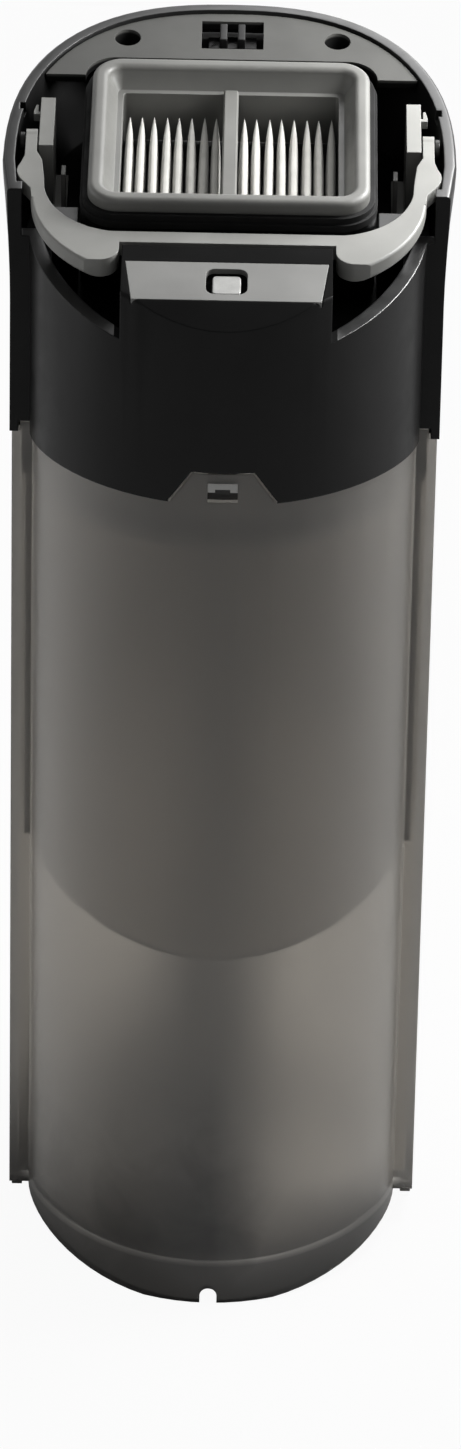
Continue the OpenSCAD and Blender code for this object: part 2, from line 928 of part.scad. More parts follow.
// Sleeve under the plug, its lower edge rising to the back
module separator_sleeve() {
    color([0.2, 0.19, 0.19, 0.8])
    stand()
    difference() {
        at_plan(-tank_wall - sleeve_gap, sleeve_z - past, seam_z - plug_h);
        at_plan(-tank_wall - sleeve_gap - sleeve_wall, sleeve_z - 2 * past, seam_z);
        rotate([90, 0, 90])
        linear_extrude(2 * reach, center = true)
        polygon([[-nose_d - past, 0], [-nose_d - past, sleeve_z - past * sleeve_slope],
            [back_d + past, sleeve_z + (back_d + nose_d + past) * sleeve_slope], [back_d + past, 0]]);
    }
}

module float_cage() {
    color([0.3, 0.3, 0.3])
    stand()
    translate([0, float_y, lid_z - cage_h])
    difference() {
        cylinder(r = cage_r, h = cage_h);
        translate([0, 0, cage_wall])
        cylinder(r = cage_r - cage_wall, h = cage_h);
        translate([0, 0, -past])
        cylinder(r = float_r - 3, h = cage_h);
        for (a = [0 : 90 : 270])
            rotate([0, 0, a])
            translate([0, -cage_slot / 2, 2 * cage_wall])
            cube([2 * cage_r, cage_slot, cage_h - 5 * cage_wall]);
    }
}

module float_ball() {
    color([0.85, 0.83, 0.78])
    stand()
    translate([0, float_y, lid_z - cage_h + cage_wall + seat])
    difference() {
        union() {
            cylinder(r = float_r, h = float_h - 2);
            cylinder(r = float_r - 2, h = float_h);
        }
        translate([0, 0, -past])
        cylinder(r = float_r - 1.5, h = float_h - 4);
    }
}

module lid_screws() {
    color([0.7, 0.7, 0.7])
    stand()
    at_posts() {
        translate([0, 0, -head_h])
        cylinder(r = head_r, h = head_h);
        translate([0, 0, -head_h / 2])
        cylinder(r = screw_r, h = head_h / 2 + lid_t + screw_l - past);
    }
}

// Bail handle

module at_pivot(x) {
    translate([x, pivot_v, pivot_w])
    rotate([0, 90, 0])
    children();
}

// Upright lug beside the bail's arm, bored for the pin, with a rib on its foot
module lug(side) {
    color([0.45, 0.45, 0.44])
    stand()
    mirror([side > 0 ? 0 : 1, 0, 0])
    difference() {
        intersection() {
            tilted_slab(-shell_wall - seat, -tray_depth, 0);
            on_top() {
                translate([lug_x, pivot_v - pin_head_r - 3, -tray_depth - past])
                cube([lug_t, lug_l, tray_depth + 2 * past]);
                translate([rib_x, rib_v, -tray_depth - past])
                cube([lug_x + past - rib_x, lug_l, lug_foot_t + past]);
                translate([rib_x, rib_v, -tray_depth - past])
                cube([rib_w, rib_l, tray_depth - rib_low + past]);
                translate([lug_x + lug_t - past, clip_v, -clip_drop - clip_h])
                cube([clip_out + past, clip_w, clip_h]);
                translate([lug_x + lug_t + clip_out - clip_w, clip_v, -clip_drop - clip_h])
                cube([clip_w, clip_l, clip_h]);
            }
        }
        on_top()
        at_pivot(0)
        cylinder(r = pin_r, h = 2 * reach, center = true);
    }
}

module lug_left() {
    lug(-1);
}

module lug_right() {
    lug(1);
}

module bail_pin(side) {
    color([0.2, 0.2, 0.2])
    stand()
    on_top() {
        at_pivot(side > 0 ? lug_x : -pin_end - pin_head_t)
        cylinder(r = pin_r, h = pin_end + pin_head_t - lug_x);
        at_pivot(side > 0 ? pin_end : -pin_end - pin_head_t)
        cylinder(r = pin_head_r, h = pin_head_t);
    }
}

module bail_pin_left() {
    bail_pin(-1);
}

module bail_pin_right() {
    bail_pin(1);
}

// Section of a pad through the middle of its outer arc, with rounded edges
module pad_profile() {
    translate([0, pad_foot_r - pad_t])
    square([pad_out_r, pad_t - pad_foot_r - pad_edge_r]);
    translate([0, -pad_t])
    square([pad_out_r - pad_foot_r, pad_t]);
    translate([0, -past])
    square([pad_out_r - pad_edge_r, past]);
    translate([pad_out_r - pad_foot_r, pad_foot_r - pad_t])
    circle(pad_foot_r);
    translate([pad_out_r - pad_edge_r, -pad_edge_r])
    circle(pad_edge_r);
}

// Right pad of the bail: a crescent between an outer and an inner arc, with a round end
module bail_pad() {
    difference() {
        translate([pad_out[0], pad_out[1], bail_rise])
        rotate_extrude()
        pad_profile();
        translate([pad_in[0], pad_in[1], -reach])
        cylinder(r = pad_in_r, h = 2 * reach);
        translate([-reach, -reach, -reach])
        cube([reach + pad_end_x, 2 * reach, 2 * reach]);
        translate([0, pad_back, -reach])
        cube(2 * reach);
        translate([0, -reach - pad_low, -reach])
        cube([reach, reach, 2 * reach]);
        difference() {
            translate([pad_end_x - past, -reach, -reach])
            cube([pad_end_r + past, reach - pad_low + pad_end_r, 2 * reach]);
            translate([pad_end_x + pad_end_r, pad_end_r - pad_low, -reach])
            cylinder(r = pad_end_r, h = 2 * reach);
        }
    }
}

// Right arm of the bail, seen from above, bulging out below the pivot
module bail_arm() {
    polygon([[half_w - 5, -4], [half_w - 4.6, 0], [half_w - 1.8, 4], [half_w - 1, 6], [half_w - 0.8, 7.5],
        [half_w - 1, 9], [half_w - 1.8, 11], [arm_in + arm_w, 14], [arm_in + arm_w, pivot_v],
        [arm_in, pivot_v], [arm_in, 16], [half_w - 7.2, 12], [half_w - 8, 4], [half_w - 8.4, -4]]);
}

module bail_handle() {
    color([0.42, 0.42, 0.41])
    stand()
    on_top()
    difference() {
        union() {
            bail_pad();
            mirror([1, 0, 0])
            bail_pad();
            translate([0, 0, bail_rise - bail_t])
            linear_extrude(bail_t) {
                bail_arm();
                mirror([1, 0])
                bail_arm();
                translate([-pad_end_x - 2, -crossbar_back - crossbar_w])
                square([2 * pad_end_x + 4, crossbar_w]);
            }
            for (x = [arm_in, -arm_in - arm_w])
                at_pivot(x)
                cylinder(r = tip_r, h = arm_w);
        }
        at_pivot(0)
        cylinder(r = pin_r + pin_play, h = 2 * reach, center = true);
    }
}

// Filter

// Section of the lip and of the slope inside it, drawn from the centre of a corner
module lip_profile() {
    lip_in = filter_r - lip_w;
    slope_in = lip_in - slope_w;
    translate([lip_in, seat_rise])
    square([lip_w, lip_rise - lip_r]);
    translate([lip_in + lip_r, seat_rise])
    square([lip_w - 2 * lip_r, lip_rise]);
    for (x = [lip_in + lip_r, filter_r - lip_r])
        translate([x, lip_top - lip_r])
        circle(lip_r);
    polygon([[lip_in + past / 2, lip_top - lip_r], [lip_in, lip_top - lip_r],
        [slope_in, ledge_w0], [slope_in, ledge_w0 - past], [lip_in + past / 2, ledge_w0 - past]]);
}

module filter_frame() {
    color([0.47, 0.47, 0.45])
    stand()
    on_top() {
        translate([0, filter_mid, 0])
        rect_sweep(filter_w, filter_l, filter_r)
        lip_profile();
        difference() {
            filter_rect(-body_inset, -filter_foot, seat_rise + past);
            filter_rect(-lip_w, ledge_w0, seat_rise + 2 * past);
            // Opening under the ledge, crossed by the bar
            difference() {
                filter_rect(-media_inset, -media_foot, past);
                translate([-bar_w / 2, filter_mid - filter_l / 2, ledge_w0 - bar_drop])
                cube([bar_w, filter_l, bar_drop]);
            }
            filter_rect(-media_inset - 1.5, -filter_foot - past, -media_foot + past);
        }
        // Rounded back of the bar
        translate([0, filter_mid, ledge_w0])
        rotate([90, 0, 0])
        intersection() {
            cylinder(r = bar_w / 2, h = media_l + past, center = true);
            translate([-bar_w / 2, -past, -filter_l])
            cube([bar_w, bar_proud + past, 2 * filter_l]);
        }
    }
}

// Plan of a pleat: a leaf that tapers to its far tip
module pleat_leaf() {
    near_y = -media_l / 2;
    far_y = pleat_far - filter_mid;
    leaf_w = pleat_pitch / 2 - pleat_gap;
    function leaf_point(t, side) = [side * (pleat_tip / 2 + (leaf_w - pleat_tip / 2) * (1 - pow(t, 4))),
        near_y + (far_y - near_y) * t];
    polygon(concat([for (i = [0 : pleat_steps]) leaf_point(i / pleat_steps, 1)],
        [for (i = [pleat_steps : -1 : 0]) leaf_point(i / pleat_steps, -1)]));
}

// Pleats side by side on a sheet
module filter_media() {
    color([0.82, 0.82, 0.8])
    stand()
    on_top()
    translate([0, filter_mid, -media_foot]) {
        rounded_box(media_w, media_l, media_base, 1);
        for (side = [-1, 1], i = [0 : pleats - 1])
            translate([side * (bar_w / 2 + (i + 0.5) * pleat_pitch), 0, 0])
            intersection() {
                translate([0, 0, media_base / 2])
                linear_extrude(pleat_h + media_base)
                pleat_leaf();
                rotate([90, 0, 0])
                linear_extrude(2 * media_l, center = true)
                polygon([[-pleat_pitch / 2, 0], [-pleat_tip, media_base + pleat_h],
                    [pleat_tip, media_base + pleat_h], [pleat_pitch / 2, 0]]);
            }
    }
}

// Release button and its latch

module release_button() {
    color([0.3, 0.3, 0.3])
    stand()
    intersection() {
        at_plan(button_face - back_d, button_z - button_h, button_z + button_h);
        translate([0, button_in, button_z])
        rotate([-90, 0, 0])
        rounded_box(button_w, button_h, reach, button_r);
    }
}

// Slide behind the button with two fins up into the deck's slot
module latch_hook() {
    color([0.09, 0.09, 0.09])
    stand() {
        intersection() {
            tilted_slab(0, seat - tray_depth, -hook_drop);
            translate([-hook_w / 2, hook_y, seam_z])
            cube([hook_w, hook_t, reach]);
        }
        intersection() {
            tilted_slab(0, -hook_drop - past, -deck_drop);
            for (x = [-fin_x, fin_x])
                translate([x - fin_w / 2, fin_front, seam_z])
                cube([fin_w, fin_back - fin_front, reach]);
        }
    }
}

// Helix along the button's axis, between the slide and its seat on the tray
module button_spring() {
    color([0.7, 0.7, 0.7])
    stand()
    translate([0, hook_y - spring_wire, button_z])
    rotate([90, 0, 0])
    coil(spring_r, spring_wire, spring_l - 2 * spring_wire, spring_turns);
}

module coil(r, wire, length, turns) {
    steps = turns * coil_steps;
    points = [for (i = [0 : steps], k = [0 : coil_sides - 1]) let (
        a = 360 * i / coil_steps, b = 360 * k / coil_sides, q = r + wire * cos(b))
        [q * cos(a), q * sin(a), length * i / steps + wire * sin(b)]];
    ends = [[for (k = [coil_sides - 1 : -1 : 0]) k],
        [for (k = [0 : coil_sides - 1]) steps * coil_sides + k]];
    sides = [for (i = [0 : steps - 1], k = [0 : coil_sides - 1]) let (
        m = (k + 1) % coil_sides, a = i * coil_sides, b = a + coil_sides)
        each [[a + k, a + m, b + k], [b + k, a + m, b + m]]];
    polyhedron(points, concat(ends, sides), convexity = 10);
}

tank_body();
riser_tube();
inlet_seal();
catch_clip();
housing_shell();
tray();
tank_lid();
lid_gasket();
separator_sleeve();
float_cage();
filter_gasket();
deck_cover();
strike_plate();
strike_insert();
lug_left();
lug_right();
bail_pin_left();
bail_pin_right();
lid_screws();
filter_frame();
filter_media();
float_ball();
bail_handle();
release_button();
latch_hook();
button_spring();
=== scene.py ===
"""Dirty water tank of an upright floor washer: finishes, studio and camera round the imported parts."""

import math

import bpy
from bpy.props import FloatProperty, FloatVectorProperty, PointerProperty
from mathutils import Matrix, Vector


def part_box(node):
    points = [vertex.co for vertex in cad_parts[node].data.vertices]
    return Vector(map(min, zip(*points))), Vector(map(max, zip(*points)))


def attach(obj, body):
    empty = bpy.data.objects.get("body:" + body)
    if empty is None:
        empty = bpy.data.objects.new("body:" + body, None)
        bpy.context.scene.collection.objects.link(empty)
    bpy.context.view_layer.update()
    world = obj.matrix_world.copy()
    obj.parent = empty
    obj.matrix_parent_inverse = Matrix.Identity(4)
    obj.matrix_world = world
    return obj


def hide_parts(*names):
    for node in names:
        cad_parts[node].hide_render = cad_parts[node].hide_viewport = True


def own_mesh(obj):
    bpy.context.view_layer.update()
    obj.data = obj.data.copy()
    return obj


bl_info = {
    "name": "Dirty Water Tank",
    "version": (1, 0, 0),
    "blender": (4, 5, 0),
    "location": "View3D > Sidebar > Tank",
    "description": "Finishes, studio and camera for a dirty water tank",
    "category": "Object",
}

MM = 0.001

# The photograph's frame, and the pixel of it that the camera's aim falls on
PHOTO_W = 461
PHOTO_H = 1449
AIM_X = 219.1
SENSOR = 36.0

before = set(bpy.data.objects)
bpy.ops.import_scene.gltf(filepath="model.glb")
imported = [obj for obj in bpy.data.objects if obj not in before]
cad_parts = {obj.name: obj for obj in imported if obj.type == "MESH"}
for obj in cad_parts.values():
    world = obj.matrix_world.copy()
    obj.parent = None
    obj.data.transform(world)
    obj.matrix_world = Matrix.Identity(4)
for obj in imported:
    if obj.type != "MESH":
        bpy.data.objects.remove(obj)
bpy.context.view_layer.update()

# Plane of the head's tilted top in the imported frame: its slope, and its height at the shoulders
TILT = math.radians(18)
RIM_Z = 0.3006
FRAME_Y = -0.01451
# The front block, in mm: its faces stay dull
BLOCK_HALF_W = 28.5
BLOCK_BACK_Y = -29.0
# Underside of the tank's floor, in mm over the skirt's foot
FOOT_Z = 11.0


# Colours and nodes

def linear(hex_colour):
    """sRGB hex to a linear colour with alpha."""
    parts = [int(hex_colour[i:i + 2], 16) / 255 for i in (1, 3, 5)]
    return tuple(c / 12.92 if c <= 0.04045 else ((c + 0.055) / 1.055) ** 2.4 for c in parts) + (1.0,)


def add(tree, kind, inputs=None, **settings):
    """A node with its settings, and its inputs set to values or linked from sockets."""
    made = tree.nodes.new(kind)
    for name, value in settings.items():
        setattr(made, name, value)
    for name, value in (inputs or {}).items():
        if isinstance(value, bpy.types.NodeSocket):
            tree.links.new(value, made.inputs[name])
        else:
            made.inputs[name].default_value = value
    return made


def new_material(name):
    material = bpy.data.materials.new(name)
    material.use_nodes = True
    material.node_tree.nodes.clear()
    return material, material.node_tree


def grain(tree, size_mm, detail=2.0, distortion=0.0):
    """Noise whose blobs are about size_mm across, fixed to the piece."""
    place = add(tree, "ShaderNodeTexCoord")
    return add(tree, "ShaderNodeTexNoise", {
        "Vector": place.outputs["Object"], "Scale": 1 / (size_mm * MM), "Detail": detail, "Distortion": distortion,
    }).outputs["Fac"]


def spread(tree, value, low, high):
    """Maps the middle of a noise to low and high."""
    return add(tree, "ShaderNodeMapRange", {
        "Value": value, "From Min": 0.35, "From Max": 0.65, "To Min": low, "To Max": high,
    }).outputs["Result"]


def shaded(tree, colour, dark, light, value):
    """The colour, made darker and lighter by shares that follow a noise."""
    return add(tree, "ShaderNodeMix", {
        "Factor": value,
        "A": tuple(c * dark for c in colour[:3]) + (1.0,),
        "B": tuple(min(1.0, c * light) for c in colour[:3]) + (1.0,),
    }, data_type="RGBA")


def colour_of(mix):
    return next(s for s in mix.outputs if s.type == "RGBA" and s.enabled)


def rounded_normal(tree, radius_mm, height, depth_mm):
    """Soft moulded edges, with the surface grain as bump on top."""
    edge = add(tree, "ShaderNodeBevel", {"Radius": radius_mm * MM}, samples=6)
    return add(tree, "ShaderNodeBump", {
        "Height": height, "Distance": depth_mm * MM, "Strength": 1.0, "Normal": edge.outputs["Normal"],
    }).outputs["Normal"]


def finish_material(tree, shader):
    out = add(tree, "ShaderNodeOutputMaterial")
    tree.links.new(shader.outputs["BSDF"], out.inputs["Surface"])


def polished_lands(tree, dull, lands_mm, bright=1.0):
    """Mirror level: dull all over, bright on faces along the top at these depths, and none on the front block's."""
    surface = add(tree, "ShaderNodeNewGeometry")
    along = add(tree, "ShaderNodeVectorMath", {
        0: surface.outputs["True Normal"], 1: (0, -math.sin(TILT), math.cos(TILT)),
    }, operation="DOT_PRODUCT")
    facing = add(tree, "ShaderNodeMath", {0: along.outputs["Value"], 1: 0.9}, operation="GREATER_THAN")
    depth = under_top(tree)
    level = add(tree, "ShaderNodeMath", {0: 0.0, 1: 0.0}, operation="ADD").outputs[0]
    for land in lands_mm:
        off = add(tree, "ShaderNodeMath", {0: depth, 1: land * MM}, operation="SUBTRACT")
        far = add(tree, "ShaderNodeMath", {0: off.outputs[0]}, operation="ABSOLUTE")
        near = add(tree, "ShaderNodeMath", {0: far.outputs[0], 1: 0.4 * MM}, operation="LESS_THAN")
        level = add(tree, "ShaderNodeMath", {0: level, 1: near.outputs[0]}, operation="MAXIMUM").outputs[0]
    place = add(tree, "ShaderNodeTexCoord")
    apart = add(tree, "ShaderNodeSeparateXYZ", {"Vector": place.outputs["Object"]})
    across = add(tree, "ShaderNodeMath", {0: apart.outputs["X"]}, operation="ABSOLUTE")
    beside = add(tree, "ShaderNodeMath", {0: across.outputs[0], 1: BLOCK_HALF_W * MM}, operation="GREATER_THAN")
    behind = add(tree, "ShaderNodeMath", {0: apart.outputs["Y"], 1: BLOCK_BACK_Y * MM}, operation="GREATER_THAN")
    off_block = add(tree, "ShaderNodeMath", {0: beside.outputs[0], 1: behind.outputs[0]}, operation="MAXIMUM")
    share = add(tree, "ShaderNodeMath", {0: level, 1: facing.outputs[0]}, operation="MULTIPLY")
    mirror = add(tree, "ShaderNodeMapRange", {"Value": share.outputs[0], "To Min": dull, "To Max": bright})
    on_block = add(tree, "ShaderNodeMath", {0: facing.outputs[0], 1: off_block.outputs[0]}, operation="SUBTRACT",
                   use_clamp=True)
    left = add(tree, "ShaderNodeMath", {0: 1.0, 1: on_block.outputs[0]}, operation="SUBTRACT")
    return add(tree, "ShaderNodeMath", {0: mirror.outputs["Result"], 1: left.outputs[0]},
               operation="MULTIPLY").outputs[0]


def moulded(name, colour, rough=(0.4, 0.5), grain_mm=0.5, depth_mm=0.01, edge_mm=0.3, mirror=0.5, coat=0.0,
            shadow_mm=None, lands_mm=None):
    """Injection moulded plastic: even colour with a slight cloudiness, fine spark grain and soft edges."""
    material, tree = new_material(name)
    cloud = spread(tree, grain(tree, 18, detail=3), 0, 1)
    fine = grain(tree, grain_mm)
    tint = colour_of(shaded(tree, colour, 0.93, 1.08, cloud))
    # Painted shade from shadow_mm down under the head's top, on edges and in bores that no light enters
    if shadow_mm:
        tint = colour_of(painted_shade_below(tree, tint, *shadow_mm, 0.004))
    shader = add(tree, "ShaderNodeBsdfPrincipled", {
        "Base Color": tint,
        "Roughness": spread(tree, grain(tree, 6, detail=4), *rough),
        "Specular IOR Level": polished_lands(tree, mirror, lands_mm) if lands_mm else mirror,
        "Coat Weight": coat,
        "Coat Roughness": 0.15,
        "Normal": rounded_normal(tree, edge_mm, fine, depth_mm),
    })
    finish_material(tree, shader)
    return material


def lower_dark_and_painted_light(tree, colour, low_mm, high_mm, dark):
    """The colour, darker towards the bottom and along the front of the skirt, lifted by a painted highlight towards
    the right and a little towards the left, with painted shade under the tank's floor.
    """
    place = add(tree, "ShaderNodeTexCoord")
    height = add(tree, "ShaderNodeSeparateXYZ", {"Vector": place.outputs["Object"]})
    # Painted highlight down the sides: the darker band stops lower towards the right, and a little lower towards the
    # left
    left = add(tree, "ShaderNodeMath", {0: height.outputs["X"], 1: -0.25}, operation="MULTIPLY")
    side = add(tree, "ShaderNodeMath", {0: height.outputs["X"], 1: left.outputs[0]}, operation="MAXIMUM")
    painted_lit_height = add(tree, "ShaderNodeMath", {0: side.outputs[0], 1: 1.9, 2: height.outputs["Z"]},
                operation="MULTIPLY_ADD")
    waves = add(tree, "ShaderNodeMath", {
        0: spread(tree, grain(tree, 14, detail=5, distortion=0.6), -4 * MM, 4 * MM), 1: painted_lit_height.outputs[0],
    }, operation="ADD")
    undarkened = add(tree, "ShaderNodeMapRange", {
        "Value": waves.outputs[0], "From Min": low_mm * MM, "From Max": high_mm * MM,
    }, interpolation_type="SMOOTHERSTEP")
    # Darker along the front of the skirt, all the way across
    back = add(tree, "ShaderNodeMath", {0: height.outputs["Y"], 1: 30 * MM}, operation="ADD", use_clamp=True)
    over = add(tree, "ShaderNodeMath", {0: back.outputs[0], 1: height.outputs["Z"]}, operation="ADD")
    skirt = add(tree, "ShaderNodeMapRange", {
        "Value": over.outputs[0], "From Min": 2 * MM, "From Max": 34 * MM,
    }, interpolation_type="SMOOTHSTEP")
    least = add(tree, "ShaderNodeMath", {0: undarkened.outputs["Result"], 1: skirt.outputs["Result"]}, operation="MINIMUM")
    darkened_low = add(tree, "ShaderNodeMix", {
        "Factor": least.outputs[0], "A": tuple(c * dark for c in colour[:3]) + (1.0,), "B": tuple(colour),
    }, data_type="RGBA")
    # Painted shade on the skirt under the tank's floor
    foot = add(tree, "ShaderNodeMapRange", {
        "Value": height.outputs["Z"], "From Min": FOOT_Z * MM, "From Max": (FOOT_Z + 1) * MM,
        "To Min": 0.3, "To Max": 1.0,
    })
    return add(tree, "ShaderNodeMix", {
        "Factor": foot.outputs["Result"], "A": (0, 0, 0, 1.0), "B": colour_of(darkened_low),
    }, data_type="RGBA")


def under_top(tree):
    """Depth in metres under the plane of the head's tilted top, at the shaded point."""
    place = add(tree, "ShaderNodeTexCoord")
    along = add(tree, "ShaderNodeVectorMath", {
        0: place.outputs["Object"], 1: (0, math.sin(TILT), -math.cos(TILT)),
    }, operation="DOT_PRODUCT")
    top = FRAME_Y * math.sin(TILT) - RIM_Z * math.cos(TILT)
    return add(tree, "ShaderNodeMath", {0: along.outputs["Value"], 1: top}, operation="SUBTRACT").outputs[0]


def painted_shade_below(tree, colour, start_mm, end_mm, dark):
    """The colour, darker from start to end under the head's top: painted shade in the folds of the fleece, and in
    bores and on edges that no light enters.
    """
    share = add(tree, "ShaderNodeMapRange", {
        "Value": under_top(tree), "From Min": start_mm * MM, "From Max": end_mm * MM,
    }, interpolation_type="SMOOTHSTEP").outputs["Result"]
    return add(tree, "ShaderNodeMix", {
        "Factor": share, "A": colour, "B": (dark, dark, dark, 1.0),
    }, data_type="RGBA")


def smoked_clear(name, colour, rough, lower_darkening=None, milk=0.0):
    """Smoked clear plastic: light comes through it dimmed and blurred, and its sides mirror the room softly."""
    material, tree = new_material(name)
    fine = grain(tree, 1.2)
    tint = colour_of(lower_dark_and_painted_light(tree, colour, *lower_darkening) if lower_darkening else
                     shaded(tree, colour, 0.96, 1.04, spread(tree, grain(tree, 30), 0, 1)))
    shader = add(tree, "ShaderNodeBsdfPrincipled", {
        "Base Color": tint,
        "Roughness": spread(tree, grain(tree, 9, detail=3), rough - 0.02, rough + 0.02),
        "IOR": 1.5,
        "Transmission Weight": 1.0 - milk,
        "Normal": rounded_normal(tree, 0.6, fine, 0.004),
    })
    finish_material(tree, shader)
    return material


def metal(name, colour, rough=(0.2, 0.3), grain_mm=0.4, depth_mm=0.004):
    """Bare steel: mirrors the room in its own colour, blurred by fine marks."""
    material, tree = new_material(name)
    fine = grain(tree, grain_mm, detail=4)
    shader = add(tree, "ShaderNodeBsdfPrincipled", {
        "Base Color": colour_of(shaded(tree, colour, 0.95, 1.03, spread(tree, fine, 0, 1))),
        "Metallic": 1.0,
        "Roughness": spread(tree, grain(tree, 2, detail=4), *rough),
        "Normal": rounded_normal(tree, 0.3, fine, depth_mm),
    })
    finish_material(tree, shader)
    return material


def rubber(name, colour):
    """Moulded EPDM: dull, slightly dusty black with no sharp highlight."""
    return moulded(name, colour, rough=(0.7, 0.85), grain_mm=0.8, depth_mm=0.02, mirror=0.3)


def fleece(name, colour, fold_mm, fibre_mm=0.35):
    """Pleated polyester fleece: matt white with fine crossing fibres and dust that varies at random, with painted
    shade darkening it deep in the folds.
    """
    material, tree = new_material(name)
    place = add(tree, "ShaderNodeTexCoord")
    fibres = add(tree, "ShaderNodeTexVoronoi", {
        "Vector": place.outputs["Object"], "Scale": 1 / (fibre_mm * MM), "Randomness": 1.0,
    }, feature="DISTANCE_TO_EDGE")
    dust = spread(tree, grain(tree, 7, detail=5, distortion=0.4), 0, 1)
    undarkened = colour_of(shaded(tree, colour, 0.88, 1.02, dust))
    # Painted shade deep in the folds, nearly black down at the sheet
    shader = add(tree, "ShaderNodeBsdfPrincipled", {
        "Base Color": colour_of(painted_shade_below(tree, undarkened, *fold_mm, 0.012)),
        "Roughness": 0.9,
        "Sheen Weight": 0.2,
        "Sheen Roughness": 0.5,
        "Normal": add(tree, "ShaderNodeBump", {
            "Height": fibres.outputs["Distance"], "Distance": 0.04 * MM, "Strength": 0.6,
        }).outputs["Normal"],
    })
    finish_material(tree, shader)
    return material


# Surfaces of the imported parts

def smooth_group(angle_deg=32):
    """Geometry nodes that join the mesh, drop its stored normals and shade it smooth up to an angle."""
    group = bpy.data.node_groups.get("smooth_faces")
    if group:
        return group
    group = bpy.data.node_groups.new("smooth_faces", "GeometryNodeTree")
    group.interface.new_socket("Geometry", in_out="INPUT", socket_type="NodeSocketGeometry")
    group.interface.new_socket("Geometry", in_out="OUTPUT", socket_type="NodeSocketGeometry")
    start = add(group, "NodeGroupInput")
    joined = add(group, "GeometryNodeMergeByDistance", {"Geometry": start.outputs[0], "Distance": 0.002 * MM})
    bare = add(group, "GeometryNodeRemoveAttribute", {"Geometry": joined.outputs[0], "Name": "custom_normal"})
    smooth = add(group, "GeometryNodeSetShadeSmooth", {"Geometry": bare.outputs[0], "Shade Smooth": True}, domain="FACE")
    fold = add(group, "GeometryNodeInputMeshEdgeAngle")
    sharp = add(group, "FunctionNodeCompare", {0: fold.outputs["Unsigned Angle"], 1: math.radians(angle_deg)},
                data_type="FLOAT", operation="GREATER_THAN")
    stored = add(group, "GeometryNodeStoreNamedAttribute", {
        "Geometry": smooth.outputs[0], "Name": "sharp_edge", "Value": sharp.outputs[0],
    }, data_type="BOOLEAN", domain="EDGE")
    end = add(group, "NodeGroupOutput")
    group.links.new(stored.outputs[0], end.inputs[0])
    return group


def dress(node, material, edge_mm=0.0):
    """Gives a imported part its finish, rounds its edges by edge_mm and shades it smooth."""
    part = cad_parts[node]
    part.data.materials.clear()
    part.data.materials.append(material)
    if edge_mm:
        weld = part.modifiers.new("join_points", "WELD")
        weld.merge_threshold = 0.002 * MM
        flat = part.modifiers.new("join_flat_faces", "DECIMATE")
        flat.decimate_type = "DISSOLVE"
        flat.angle_limit = math.radians(0.5)
        edge = part.modifiers.new("round_edges", "BEVEL")
        edge.width = edge_mm * MM
        edge.segments = 2
        edge.limit_method = "ANGLE"
        edge.angle_limit = math.radians(40)
    smooth = part.modifiers.new("smooth_faces", "NODES")
    smooth.node_group = smooth_group()
    if edge_mm:
        flat_shading = part.modifiers.new("even_flat_faces", "WEIGHTED_NORMAL")
        flat_shading.keep_sharp = True
        flat_shading.weight = 100
    return part


# Settings

def colour_setting(name, description, hex_colour):
    return FloatVectorProperty(name=name, description=description, subtype="COLOR", size=4, min=0, max=1,
                               default=linear(hex_colour))


class TankFinishes(bpy.types.PropertyGroup):
    """Colours of the tank's plastics, rubber and fleece."""

    smoke: colour_setting("Smoked wall", "Light that comes through one wall of the tank", "#c4c0ba")
    sleeve: colour_setting("Smoked sleeve", "Light that comes through one wall of the sleeve", "#a9a5a0")
    shell: colour_setting("Head", "Black plastic of the head's shell", "#181818")
    tray: colour_setting("Tray", "Black plastic inside the head", "#090909")
    grey: colour_setting("Grey plastic", "Grey plastic of the filter frame", "#666663")
    bail: colour_setting("Bail", "Grey plastic of the bail and its lugs", "#7b7b78")
    deck: colour_setting("Deck", "Grey plastic of the deck", "#474745")
    plate: colour_setting("Plate", "Silver paint of the front plate", "#6c6c6a")
    steel: colour_setting("Steel", "Drawn and plated steel", "#d8d8d6")
    insert: colour_setting("Insert", "Brushed steel of the plate's insert", "#a2a2a0")
    rubber: colour_setting("Rubber", "Rubber of the seals", "#101010")
    fleece: colour_setting("Fleece", "Fleece of the filter's pleats", "#b4b3ae")
    inner: colour_setting("Inner plastic", "Dark grey plastic inside the tank", "#2c2c2b")
    clip: colour_setting("Clip", "Light grey plastic of the snap's clip", "#9a9a98")
    float_white: colour_setting("Float", "Foamed white plastic of the float", "#d8d3c6")


class TankStudio(bpy.types.PropertyGroup):
    """Camera and lamps."""

    lens: FloatProperty(name="Lens", description="Focal length of the camera", default=152.77, unit="CAMERA")
    distance: FloatProperty(name="Distance", description="From the camera to the point it aims at",
                            default=1.653, unit="LENGTH")
    elevation: FloatProperty(name="Elevation", description="Angle the camera looks down by",
                             default=math.radians(24), subtype="ANGLE")
    azimuth: FloatProperty(name="Azimuth", description="Turn of the camera round the tank",
                           default=math.radians(0.1), subtype="ANGLE")
    roll: FloatProperty(name="Roll", description="Turn of the camera about its own axis",
                        default=math.radians(1.1), subtype="ANGLE")
    aim: FloatVectorProperty(name="Aim", description="Point on the tank at the middle height of the picture",
                             default=(0, -0.01451, 0.1495), subtype="TRANSLATION")
    room_light: FloatProperty(name="Room light", description="Strength of the even light from all round", default=0.42)
    floor: colour_setting("Floor", "Pale paper of the floor", "#d4d4d4")


# Operators, one for each piece or group of like pieces

class TANK_OT_smoked_tank(bpy.types.Operator):
    """Finish the smoked tank and its snap clip."""

    bl_idname = "tank.smoked_tank"
    bl_label = "Smoked Tank"

    def execute(self, context):
        colours = context.scene.tank_finishes
        # Smoked SAN, polished mould: clear enough to show the sleeve's edge through it
        # Darker towards the bottom, with a painted highlight down the sides, most on the right, and painted shade
        # under the floor
        dress("tank_body", smoked_clear("smoked_san", colours.smoke, 0.34, lower_darkening=(8, 84, 0.14), milk=0.05))
        # ABS, satin mould
        dress("catch_clip", moulded("light_abs", colours.clip, rough=(0.3, 0.4)))
        return {"FINISHED"}


